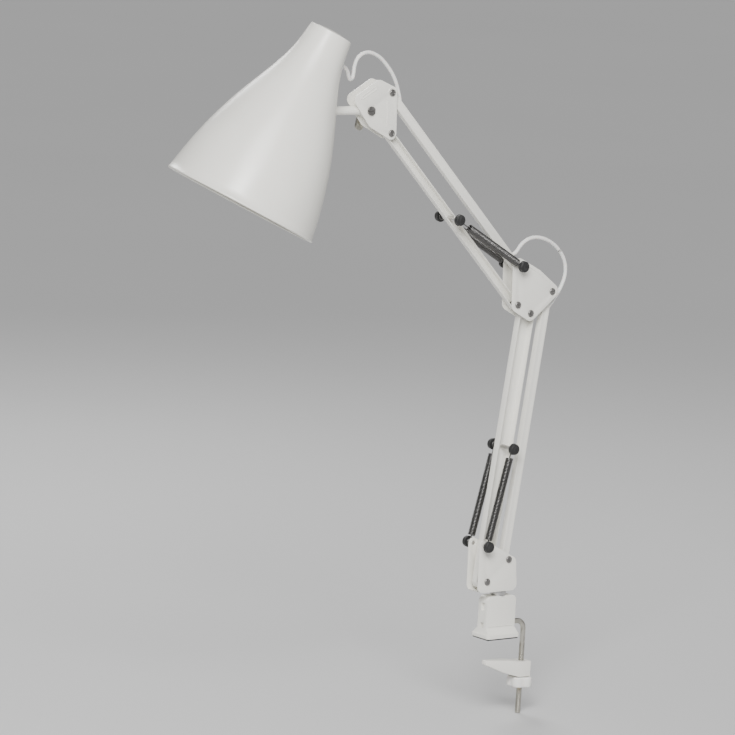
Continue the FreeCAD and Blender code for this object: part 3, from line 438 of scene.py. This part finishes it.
def makeNeckCap():
    # a pressed cap: a shallow dome with a rolled edge that closes the neck
    sizes = capShape
    dome, reach = sizes["dome"], shadeSizes["neck"] - sizes["inside"]
    radius = (dome ** 2 + reach ** 2) / (2 * dome)
    centre = (0, dome - radius)
    edge = math.degrees(math.atan2(-centre[1], reach))
    skirt = reach - sizes["thick"]
    profile = [(0, -sizes["skirt"]), (skirt, -sizes["skirt"]), (skirt, -sizes["step"])]
    rollCentre = (reach - sizes["roll"], -sizes["rollDown"])
    profile += arcPoints(rollCentre, sizes["roll"], -60, 60, sizes["rollSteps"])
    domed = arcPoints(centre, radius, edge, 90, sizes["domeSteps"])
    profile += [place for place in domed if place[0] < skirt]
    shape = bmesh.new()
    turned(shape, profile, neckEnd, shadeUp, sizes["steps"])
    finishPiece("neck_cap_pressed", shape, ["neck_cap"], smoothUnder=50)


makeShade()
makeNeckCap()
print("shade done")


# lampholder

holderSizes = {"shellEdge": 0.5 * mm, "innerEdge": 0.3 * mm, "threadEdge": 0.1 * mm, "threadPitch": 3.6 * mm,
               "threadRidge": 0.7 * mm, "threadOut": 0.2 * mm, "threadTurns": 8, "perTurn": 40}


def makeLampholder():
    sizes = holderSizes
    for node in ("lampholder_cap", "lampholder_shell", "lampholder_ring"):
        softened(node, sizes["shellEdge"], 3)
    for node in ("lampholder_contact", "lampholder_core", "lampholder_nipple"):
        softened(node, sizes["innerEdge"])
    softened("lampholder_thread", sizes["threadEdge"])
    pitch, turns, perTurn = sizes["threadPitch"], sizes["threadTurns"], sizes["perTurn"]
    depth = socketDepth - pitch * turns / 2
    radius = socket["dims"]["r_mm"] * mm + sizes["threadOut"]
    shape = bmesh.new()
    ridge = wireCircle(shape, (radius, 0, -depth), sizes["threadRidge"])
    bmesh.ops.spin(shape, geom=ridge, cent=(0, 0, 0), axis=(0, 0, 1), dvec=(0, 0, -pitch / perTurn),
                   angle=2 * math.pi * turns, steps=turns * perTurn)
    bmesh.ops.recalc_face_normals(shape, faces=shape.faces)
    shape.transform(shadeFrame)
    finishPiece("lampholder_thread_ridges", shape, ["lampholder_thread"])


makeLampholder()
print("lampholder done")


# springs: a close coil about each line, with a wire eye round the peg

springSizes = {"wire": 0.7 * mm, "mean": 3.9 * mm, "eye": 3.5 * mm, "lead": 8 * mm, "pitch": 1.62 * mm,
               "tail": {"lower": 11 * mm, "upper": 20 * mm}, "hookShare": 0.75, "perTurn": 16, "sides": 6,
               "eyeSteps": 28, "endSteps": 8}


def wireRing(shape, place, axis, radius):
    # a closed round eye of wire
    turn = upwards.rotation_difference(axis).to_matrix().to_4x4()
    before = set(shape.verts)
    ring = wireCircle(shape, (radius, 0, 0), springSizes["wire"])
    bmesh.ops.spin(shape, geom=ring, cent=(0, 0, 0), axis=(0, 0, 1), angle=2 * math.pi,
                   steps=springSizes["eyeSteps"], use_merge=True)
    added = [vert for vert in shape.verts if vert not in before]
    bmesh.ops.transform(shape, matrix=Matrix.Translation(place) @ turn, verts=added)


def straightWire(shape, length, matrix):
    wire = springSizes["wire"]
    bmesh.ops.create_cone(shape, cap_ends=True, segments=8, radius1=wire, radius2=wire, depth=length,
                          matrix=matrix)


def springCoil(shape, start, finish, tail):
    # wire from the eye along the axis, out to the coil, round and round, and back to the axis
    sizes = springSizes
    coil = (finish - start).length - sizes["lead"] - tail
    turns = round(coil / sizes["pitch"])
    before = set(shape.verts)
    wireRing(shape, Vector((0, 0, 0)), towardsBack, sizes["eye"])
    stem = sizes["lead"] + sizes["wire"] - sizes["eye"]
    straightWire(shape, stem, Matrix.Translation((0, 0, sizes["eye"] + stem / 2)))
    swept = wireCircle(shape, (0, 0, sizes["lead"]), sizes["wire"], sizes["sides"])
    middle = Vector((sizes["mean"] / 2, 0, 0))
    half = (middle, math.pi, sizes["endSteps"], 0)
    whole = (Vector((0, 0, 0)), 2 * math.pi * turns, turns * sizes["perTurn"], coil)
    for centre, angle, steps, rise in (half, whole, half):
        swept = bmesh.ops.spin(shape, geom=swept, cent=centre, axis=(0, 0, 1), angle=angle, steps=steps,
                               dvec=(0, 0, rise / steps))["geom_last"]
    added = [vert for vert in shape.verts if vert not in before]
    bmesh.ops.remove_doubles(shape, verts=added, dist=0.001 * mm)
    added = [vert for vert in shape.verts if vert not in before]
    turn = upwards.rotation_difference((finish - start).normalized()).to_matrix().to_4x4()
    bmesh.ops.transform(shape, matrix=Matrix.Translation(start) @ turn, verts=added)


def springHook(shape, start, finish, tail):
    # the far eye and its wire, which lies inside the coil
    sizes = springSizes
    way = (start - finish).normalized()
    wireRing(shape, finish, towardsBack, sizes["eye"])
    long = tail + ((start - finish).length - tail) * sizes["hookShare"]
    turn = upwards.rotation_difference(way).to_matrix().to_4x4()
    middle = finish + way * (sizes["eye"] + (long - sizes["eye"]) / 2)
    straightWire(shape, long - sizes["eye"] + sizes["wire"], Matrix.Translation(middle) @ turn)


def makeSprings():
    sizes = springSizes
    for name, start, finish in (("lower", springPost, lowerPeg), ("upper", elbowTop, upperPeg)):
        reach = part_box(f"{name}_springs")[1][1] - sizes["mean"] - sizes["wire"]
        for node, build in ((f"{name}_springs", springCoil), (f"{name}_spring_hooks", springHook)):
            shape = bmesh.new()
            for side in (-1, 1):
                aside = towardsBack * reach * side
                build(shape, start + aside, finish + aside, sizes["tail"][name])
            bmesh.ops.recalc_face_normals(shape, faces=shape.faces)
            finishPiece(f"{node}_wire", shape, [node], smoothUnder=70)


makeSprings()
print("springs done")


# rubber caps on the pegs

capSizes = {"radius": 6.6 * mm, "thick": 5.4 * mm, "round": 1.5 * mm, "rim": 0.5 * mm, "lip": 1.1 * mm,
            "waist": 0.35 * mm, "waistUp": 1.4 * mm, "dimple": 2.4 * mm, "dimpleFloor": 1.8 * mm,
            "dimpleDeep": 0.35 * mm, "steps": 40}


def rubberCap(shape, inner, out):
    # a moulded cap: a lip at the spring's side, a waist, and a rounded outer end with a dimple
    sizes = capSizes
    radius, thick, bend = sizes["radius"], sizes["thick"], sizes["round"]
    profile = [(0, 0), (radius - sizes["rim"], 0)]
    profile += arcPoints((radius - sizes["rim"], sizes["rim"]), sizes["rim"], -90, 0, 3)
    waist, floor = radius - sizes["waist"], thick - sizes["dimpleDeep"]
    profile += [(radius, sizes["lip"]), (waist, sizes["waistUp"]), (waist, thick - bend)]
    profile += arcPoints((waist - bend, thick - bend), bend, 0, 90, 6)
    profile += [(sizes["dimple"], thick), (sizes["dimpleFloor"], floor), (0, floor)]
    turned(shape, profile, inner, out, sizes["steps"])


def makeCaps():
    for node, centre in (("base_spring_caps", springPost), ("lower_peg_caps", lowerPeg),
                         ("elbow_spring_caps", elbowTop), ("upper_peg_caps", upperPeg)):
        low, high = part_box(node)
        shape = bmesh.new()
        for side in (-1, 1):
            outer = high[1] if side > 0 else low[1]
            start = Vector((centre.x, outer - side * capSizes["thick"], centre.z))
            rubberCap(shape, start, towardsBack * side)
        finishPiece(f"{node}_moulded", shape, [node], smoothUnder=40)


makeCaps()
print("caps done")


# cords

cordSizes = {"radius": 2.1 * mm, "inBar": 0.6 * mm, "beside": 8.5 * mm, "grommetDepth": 24 * mm,
             "grommetReach": 7 * mm}
# free loops in millimetres from the elbow's top pivot and from the tilt bolt
elbowLoop = [(9, 0, 24), (24, 0, 31), (42, 0, 29), (60, 0, 20), (74, 0, 5), (78, 0, -12), (72, 0, -29)]
headLoop = [(-31, -5, 34), (-24, -3, 36), (-23, -2, 50), (-17, -1, 60), (-4, 0, 65), (12, 0, 60),
            (26, 0, 48), (37, 0, 34)]


def alongBar(pivot, way, distance, aside):
    # a point in a bar's own line, the distance in millimetres, moved towards its outer side
    return pivot + way * distance * mm + Vector((way.z, 0, -way.x)) * aside


def near(centre, *place):
    return centre + Vector(place) * mm


def cordPiece(name, line, first, last, node, body):
    # a stretch of the line, with a little overlap so that no seam shows
    shape = tubeAlong(line[max(first - 1, 0):last + 2], cordSizes["radius"])
    finishPiece(name, shape, [node], body=body, smoothUnder=60)


def nearest(line, place):
    return min(range(len(line)), key=lambda number: (line[number] - place).length)


def makeElbowCord():
    inBar, beside = cordSizes["inBar"], cordSizes["beside"]
    span = lowerArm / mm
    lowerHigh = alongBar(baseRight, lowerWay, span - 30, inBar)
    route = [alongBar(elbowTop, upperWay, 22, inBar), alongBar(elbowTop, upperWay, 15, inBar),
             alongBar(elbowTop, upperWay, 8, beside)]
    route += [near(elbowTop, *place) for place in elbowLoop]
    route += [alongBar(baseRight, lowerWay, span - 14, beside + mm), lowerHigh + lowerWay * 5 * mm, lowerHigh]
    line = smoothRoute(route)
    crown = nearest(line, near(elbowTop, 66, 0, 14))
    cordPiece("elbow_cord_upper", line, 0, crown, "elbow_cord",
              ("elbow", "upper_cord_bar", near(elbowTop, 14, 0, 27), alongBar(elbowTop, upperWay, 13, inBar)))
    cordPiece("elbow_cord_lower", line, crown, len(line), "elbow_cord",
              ("lower_cord_bar", "elbow", lowerHigh + lowerWay * 8 * mm, near(elbowTop, 77, 0, -14)))


def makeHeadCord():
    inBar, beside = cordSizes["inBar"], cordSizes["beside"]
    span = upperArm / mm
    wall = Vector((wallAt(cordSizes["grommetDepth"]), 0, -cordSizes["grommetDepth"]))
    leaves = shadeFrame @ (wall + Vector((cordSizes["grommetReach"], 0, 0)))
    leaveWay = (leaves - shadeFrame @ wall).normalized()
    route = [leaves - leaveWay * 2 * mm, leaves + leaveWay * 9 * mm]
    route += [near(tiltPoint, *place) for place in headLoop]
    route += [alongBar(elbowTop, upperWay, span - 14, beside), alongBar(elbowTop, upperWay, span - 26, inBar),
              alongBar(elbowTop, upperWay, span - 34, inBar)]
    line = smoothRoute(route)
    rise = nearest(line, near(tiltPoint, -22, -2, 50))
    arch = nearest(line, near(tiltPoint, 20, 0, 54))
    cordPiece("head_cord_shade", line, 0, rise, "head_cord",
              ("shade", "knuckle", leaves, near(tiltPoint, -25, 0, 34)))
    cordPiece("head_cord_middle", line, rise, arch, "head_cord",
              ("knuckle", "head", line[rise], line[arch]))
    cordPiece("head_cord_bar", line, arch, len(line), "head_cord",
              ("head", "upper_cord_bar", line[arch], alongBar(elbowTop, upperWay, span - 18, inBar)))


makeElbowCord()
makeHeadCord()
print("cords done")


# clamp: threaded hook bolt, lobed nut

boltSizes = {"radius": 3 * mm, "bend": 10 * mm, "height": 17 * mm, "segments": 28, "bendSteps": 12,
             "threadPitch": mm, "threadHeight": 0.32 * mm, "threadSink": 0.05 * mm, "threadCrest": 0.42 * mm,
             "threadFoot": 0.84 * mm, "perTurn": 24, "threadFrom": -10 * mm, "threadEnd": mm}
nutSizes = {"lobes": 5, "steps": 120, "valley": 0.14, "valleyPower": 1.4, "round": 2.2 * mm,
            "recessIn": 3 * mm, "recessDeep": 0.6 * mm}


def drawnOut(shape, edges, way):
    # extrudes the edges along the way and gives back the new ring of verts and edges
    made = bmesh.ops.extrude_edge_only(shape, edges=edges)["geom"]
    verts = [item for item in made if isinstance(item, bmesh.types.BMVert)]
    bmesh.ops.translate(shape, verts=verts, vec=way)
    ends = [item for item in made if isinstance(item, bmesh.types.BMEdge)
            and all(vert in verts for vert in item.verts)]
    return verts, ends


def makeHookBolt():
    # a bent rod whose hanging leg is threaded
    sizes = boltSizes
    low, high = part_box("hook_bolt")
    radius, bend, height = sizes["radius"], sizes["bend"], sizes["height"]
    legX = high[0] - radius
    shape = bmesh.new()
    matrix = Matrix.Translation((low[0], 0, height)) @ Matrix.Rotation(math.pi / 2, 4, "Y")
    start = bmesh.ops.create_circle(shape, segments=sizes["segments"], radius=radius, cap_ends=True,
                                    matrix=matrix)
    edges = list({edge for vert in start["verts"] for edge in vert.link_edges})
    verts, ends = drawnOut(shape, edges, (legX - bend - low[0], 0, 0))
    last = bmesh.ops.spin(shape, geom=verts + ends, cent=(legX - bend, 0, height - bend), axis=(0, 1, 0),
                          angle=math.pi / 2, steps=sizes["bendSteps"])["geom_last"]
    edges = [item for item in last if isinstance(item, bmesh.types.BMEdge)]
    verts, ends = drawnOut(shape, edges, (0, 0, low[2] - (height - bend)))
    bmesh.ops.contextual_create(shape, geom=verts)
    pitch = sizes["threadPitch"]
    foot = low[2] + sizes["threadEnd"]
    turns = int((sizes["threadFrom"] - foot) / pitch)
    section = ((0, 0), (sizes["threadHeight"], sizes["threadCrest"]), (0, sizes["threadFoot"]))
    ridge = [shape.verts.new((legX + radius - sizes["threadSink"] + out, 0, foot + along))
             for out, along in section]
    geometry = ridge + [shape.edges.new(pair) for pair in zip(ridge, ridge[1:])]
    bmesh.ops.spin(shape, geom=geometry, cent=(legX, 0, 0), axis=(0, 0, 1), angle=2 * math.pi * turns,
                   steps=turns * sizes["perTurn"], dvec=(0, 0, pitch / sizes["perTurn"]))
    bmesh.ops.remove_doubles(shape, verts=shape.verts, dist=0.001 * mm)
    bmesh.ops.recalc_face_normals(shape, faces=shape.faces)
    finishPiece("hook_bolt_threaded", shape, ["hook_bolt"], smoothUnder=40)


def makeClampNut():
    # a moulded knob with soft lobes round its rim and a shallow recess in each end
    sizes = nutSizes
    low, high = (Vector(corner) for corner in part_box("clamp_nut"))
    centre = Vector((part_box("hook_bolt")[1][0] - boltSizes["radius"], (low.y + high.y) / 2, 0))
    radius = high.x - centre.x
    shape = bmesh.new()
    bmesh.ops.create_cone(shape, cap_ends=True, segments=sizes["steps"], radius1=radius, radius2=radius,
                          depth=high.z - low.z, matrix=Matrix.Translation((0, 0, (high.z + low.z) / 2)))
    for vert in shape.verts:
        around = math.atan2(vert.co.y, vert.co.x) * sizes["lobes"]
        share = 1 - sizes["valley"] * (0.5 - 0.5 * math.cos(around)) ** sizes["valleyPower"]
        vert.co.x, vert.co.y = vert.co.x * share, vert.co.y * share
    roundEdges(shape, sizes["round"], 4, over=60)
    caps = [face for face in shape.faces if len(face.verts) > 8]
    bmesh.ops.inset_region(shape, faces=caps, thickness=sizes["recessIn"], depth=-sizes["recessDeep"])
    shape.transform(Matrix.Translation(centre))
    finishPiece("clamp_nut_moulded", shape, ["clamp_nut"])


makeHookBolt()
makeClampNut()
print("clamp done")


# pressed lines on the plates and the clamp block, half sunk in the front faces

lineSizes = {"ridge": 0.55 * mm, "sink": 0.1 * mm, "steps": 14, "bowOut": 4.6, "bowRise": 9,
             "rightArc": 6.2 * mm, "lowArc": 6.4 * mm, "topArc": 5.6 * mm, "slot": 1.7 * mm,
             "blockFront": 8 * mm, "creaseUp": 15 * mm, "creaseHalf": 17 * mm}


def pressedLines(node, lines):
    # each line is a list of places, carried to the node's front face
    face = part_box(node)[0][1] + lineSizes["sink"]
    shape = bmesh.new()
    for line in lines:
        ridge = tubeAlong([Vector((place.x, face, place.z)) for place in line], lineSizes["ridge"], 3)
        mesh = bpy.data.meshes.new("ridge")
        ridge.to_mesh(mesh)
        ridge.free()
        shape.from_mesh(mesh)
        bpy.data.meshes.remove(mesh)
    finishPiece(f"{node}_lines", shape, [node], smoothUnder=60)


def arcLine(centre, radius, start, finish):
    arc = arcPoints((0, 0), radius, start, finish, lineSizes["steps"])
    return [centre + Vector((across, 0, up)) for across, up in arc]


def slotLine(first, last, radius):
    # a long closed slot round two centres
    lean = math.degrees(math.atan2(last.z - first.z, last.x - first.x))
    line = arcLine(first, radius, lean + 90, lean + 270) + arcLine(last, radius, lean - 90, lean + 90)
    return line + line[:1]


def makeLines():
    sizes = lineSizes
    across = (elbowRight - elbowTop).normalized()
    out = Vector((-across.z, 0, across.x))
    span = (elbowRight - elbowTop).length
    bow = []
    for share in (0.12, 0.24, 0.36, 0.5, 0.64, 0.76, 0.88):
        rise = (sizes["bowOut"] + sizes["bowRise"] * share * (1 - share)) * mm
        bow.append(elbowTop + across * span * share + out * rise)
    pressedLines("elbow_plate_front", [bow, arcLine(elbowRight, sizes["rightArc"], -70, 40),
                                       arcLine(elbowLow, sizes["lowArc"], 235, 305)])
    crease = [near(headTop, -6.5, 0, -9), near(headLow, -6.5, 0, 9)]
    slot = slotLine(near(tiltPoint, -13, 0, 14.5), near(tiltPoint, 5, 0, 25), sizes["slot"])
    pressedLines("head_plate_front", [slot, arcLine(headTop, sizes["topArc"], 95, 175), crease])
    half = sizes["creaseHalf"]
    shape = tubeAlong([Vector((across, -sizes["blockFront"], sizes["creaseUp"])) for across in (-half, half)],
                      sizes["ridge"], 3)
    finishPiece("clamp_bracket_crease", shape, ["clamp_bracket"], smoothUnder=60)


makeLines()
print("pressed lines done")


# pivot screws: a low dome with a dimple, on a plain shank

screwSizes = {"head": 4 * mm, "tall": 2 * mm, "shank": 2.5 * mm, "collar": 0.45 * mm, "bend": 1.2 * mm,
              "dimple": 0.52, "dimpleFloor": 0.42, "dimpleDeep": 0.35 * mm, "tip": 0.5 * mm, "steps": 36}


def domedHead(shape, place, sizes):
    # turned towards the front, its flat on the plate
    head, tall, bend = sizes["head"], sizes["tall"], sizes["bend"]
    floor = tall - sizes["dimpleDeep"]
    profile = [(0, 0), (head, 0), (head, sizes["collar"])]
    profile += arcPoints((head - bend, sizes["collar"]), bend, 15, 75, 4)
    profile += [(head * sizes["dimple"], tall), (head * sizes["dimpleFloor"], floor), (0, floor)]
    turned(shape, profile, place, -towardsBack, sizes["steps"])


def makeScrews():
    sizes = screwSizes
    shank, tip = sizes["shank"], sizes["tip"]
    for node, places in (("base_pivot_screws", (baseLeft, baseRight)),
                         ("elbow_pivot_screws", (elbowLow, elbowRight, elbowLeft)),
                         ("head_pivot_screws", (headLow, headTop))):
        low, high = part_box(node)
        face = low[1] + sizes["tall"]
        long = high[1] - face
        shape = bmesh.new()
        for centre in places:
            place = Vector((centre.x, face, centre.z))
            domedHead(shape, place, sizes)
            profile = [(0, 0), (shank, 0), (shank, long - tip), (shank - tip, long), (0, long)]
            turned(shape, profile, place, towardsBack, sizes["steps"])
        finishPiece(f"{node}_domed", shape, [node], smoothUnder=50)


makeScrews()
print("screws done")


# every other node keeps its CAD shape, with its edges rounded as that piece's would be

edgeWidths = {
    "clamp_bracket": 1.0 * mm, "clamp_jaw": 0.8 * mm, "flange_pad": 0.4 * mm, "base_bracket": 0.45 * mm,
    "lower_wide_bar": 0.42 * mm, "lower_cord_bar": 0.42 * mm, "upper_cord_bar": 0.42 * mm,
    "upper_plain_bar": 0.42 * mm, "elbow_plate_front": 0.5 * mm, "elbow_plate_rear": 0.5 * mm,
    "head_plate_front": 0.5 * mm, "head_plate_rear": 0.5 * mm, "knuckle": 0.8 * mm, "wing_nut": 0.8 * mm,
    "shade_foot": 0.5 * mm, "cord_grommet": 0.6 * mm, "cord_outlet": 0.6 * mm,
}
plainWidth = 0.25 * mm

# these have pressed lines above and still need their own shape
linesOnly = {"elbow_plate_front", "head_plate_front", "clamp_bracket"}
replaced = {name for piece in bpy.data.objects for name in piece.get("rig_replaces", [])} - linesOnly
for node in sorted(frame["nodes"]):
    if node not in replaced:
        softened(node, edgeWidths.get(node, plainWidth), 3 if node in edgeWidths else 2)
print("softened nodes done")


# floor, light and camera

stageSizes = {"floorReach": 40, "floorGap": 0.5 * mm, "azimuth": -38.5, "elevation": 9, "roll": 3.5,
              "lens": 250, "sensor": 36, "fill": 0.94, "sun": 2.3, "sunAngle": 30, "sunTurn": (38, -32, 0),
              "worldTone": 0.8, "worldStrength": 0.30}
# name, place from the lamp's centre, width and power of each soft light
lamps = (("key", (-1.5, -1.5, 1.2), 0.7, 50), ("fill", (1.7, -1.2, 0.7), 1.4, 5),
         ("back", (0.6, 1.7, 1.3), 1.0, 26))


def makeFloor(low):
    shape = bmesh.new()
    bmesh.ops.create_grid(shape, x_segments=1, y_segments=1, size=stageSizes["floorReach"])
    shape.transform(Matrix.Translation((0, 0, low.z - stageSizes["floorGap"])))
    mesh = bpy.data.meshes.new("floor")
    shape.to_mesh(mesh)
    shape.free()
    finish = Finish("floor_finish", Roughness=0.65)
    finish.feed(Base_Color=finish.blendColours(finish.noise(0.8, 2), grey(0.57), grey(0.60)))
    mesh.materials.append(finish.material)
    floor = bpy.data.objects.new("floor", mesh)
    bpy.context.scene.collection.objects.link(floor)
    floor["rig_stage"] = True


def makeWorld():
    world = bpy.data.worlds.new("studio")
    world.use_nodes = True
    background = world.node_tree.nodes["Background"].inputs
    background["Color"].default_value = grey(stageSizes["worldTone"])
    background["Strength"].default_value = stageSizes["worldStrength"]
    bpy.context.scene.world = world


def makeLights(centre):
    sun = bpy.data.lights.new("sky", "SUN")
    sun.energy, sun.angle = stageSizes["sun"], math.radians(stageSizes["sunAngle"])
    sky = bpy.data.objects.new("sky", sun)
    sky.rotation_euler = [math.radians(turn) for turn in stageSizes["sunTurn"]]
    bpy.context.scene.collection.objects.link(sky)
    for name, place, width, power in lamps:
        light = bpy.data.lights.new(name, "AREA")
        light.energy, light.size = power, width
        holder = bpy.data.objects.new(name, light)
        holder.location = centre + Vector(place)
        holder.rotation_euler = (-Vector(place)).to_track_quat("-Z", "Y").to_euler()
        bpy.context.scene.collection.objects.link(holder)


def makeCamera():
    # a long lens at the viewing angle, far enough back for the whole lamp
    azimuth, elevation = math.radians(stageSizes["azimuth"]), math.radians(stageSizes["elevation"])
    back = Vector((math.sin(azimuth) * math.cos(elevation), -math.cos(azimuth) * math.cos(elevation),
                   math.sin(elevation)))
    roll = Matrix.Rotation(math.radians(stageSizes["roll"]), 3, "Z")
    turn = (-back).to_track_quat("-Z", "Y").to_matrix() @ roll
    right, up = turn.col[0], turn.col[1]
    corners = [vert.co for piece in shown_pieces() for vert in list(piece.data.vertices)[::8]]
    data = bpy.data.cameras.new("camera")
    data.lens, data.sensor_width = stageSizes["lens"], stageSizes["sensor"]
    fieldWidth = data.sensor_width / data.lens * stageSizes["fill"]
    distance = (corners[0] - corners[-1]).length / fieldWidth
    place = corners[0] + back * distance
    for _ in range(6):
        seen = [turn.transposed() @ (corner - place) for corner in corners]
        across, along = [-point.x / point.z for point in seen], [-point.y / point.z for point in seen]
        wide = max(max(across) - min(across), max(along) - min(along))
        place += right * (max(across) + min(across)) / 2 * distance
        place += up * (max(along) + min(along)) / 2 * distance
        farther = distance * (wide / fieldWidth - 1)
        place += back * farther
        distance += farther
    camera = bpy.data.objects.new("camera", data)
    camera.matrix_world = Matrix.Translation(place) @ turn.to_4x4()
    data.clip_end = 100
    bpy.context.scene.collection.objects.link(camera)
    bpy.context.scene.camera = camera


boxLow, boxHigh = (Vector(corner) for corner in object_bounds())
makeFloor(boxLow)
makeWorld()
makeLights((boxLow + boxHigh) / 2)
makeCamera()
print("stage done")
